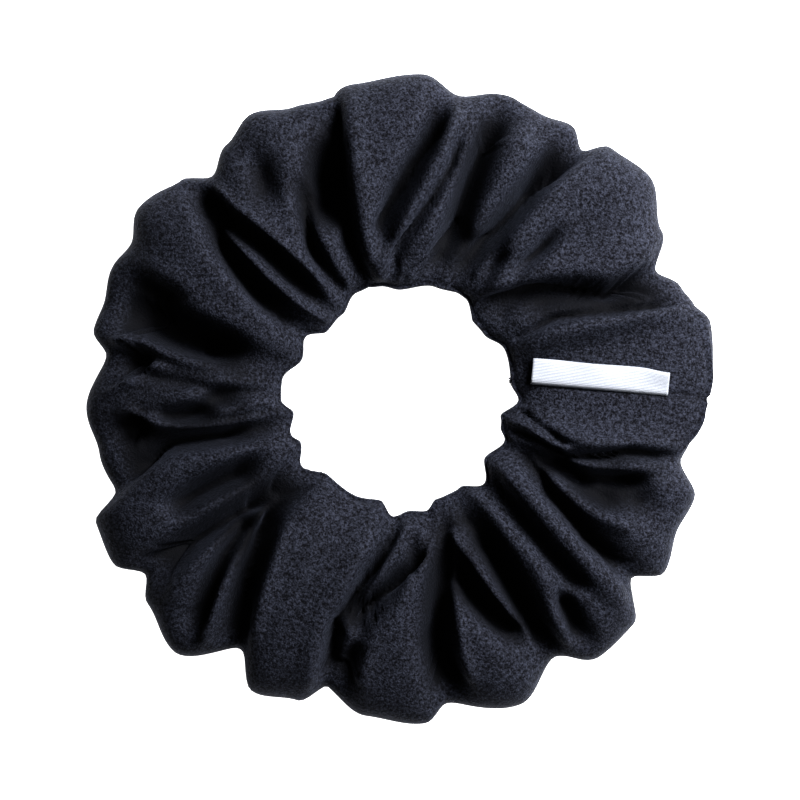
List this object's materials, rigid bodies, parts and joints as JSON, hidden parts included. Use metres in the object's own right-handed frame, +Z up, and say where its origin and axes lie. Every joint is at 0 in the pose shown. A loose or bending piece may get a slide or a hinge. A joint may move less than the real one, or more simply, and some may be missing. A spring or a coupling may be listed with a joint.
{
  "type": "hair scrunchie",
  "caption": "Soft gathered hair scrunchie: a ring of puffed, folded dark cloth over elastic, with a small white label folded into its closing seam.",
  "frame": {"origin": "on the resting surface, at the middle of the ring", "axes": "+Z up along the axis of the ring, +X across the smooth panel that carries the label"},
  "size_m": [0.1216, 0.125, 0.0221],
  "materials": {
    "brushed_cloth": "soft brushed matte, near black",
    "elastic": "white braided elastic, matte",
    "label_tape": "white woven satin tape",
    "sewing_thread": "black spun polyester thread"
  },
  "bodies": {
    "band": {"cover": "brushed_cloth", "elastic_band": "elastic", "elastic_join_needle_thread": "sewing_thread", "elastic_join_bobbin_thread": "sewing_thread", "tube_seam_needle_thread": "sewing_thread", "tube_seam_bobbin_thread": "sewing_thread", "closing_seam_needle_thread": "sewing_thread", "closing_seam_bobbin_thread": "sewing_thread"},
    "label": {"label": "label_tape"}
  },
  "joints": [
    {"name": "label_flap", "type": "hinge", "parent": "band", "child": "label", "pos_m": [0.03804, 0.00219, 0.01856], "axis": [0.9962, -0.0872, 0], "range_deg": [0, 165]}
  ]
}
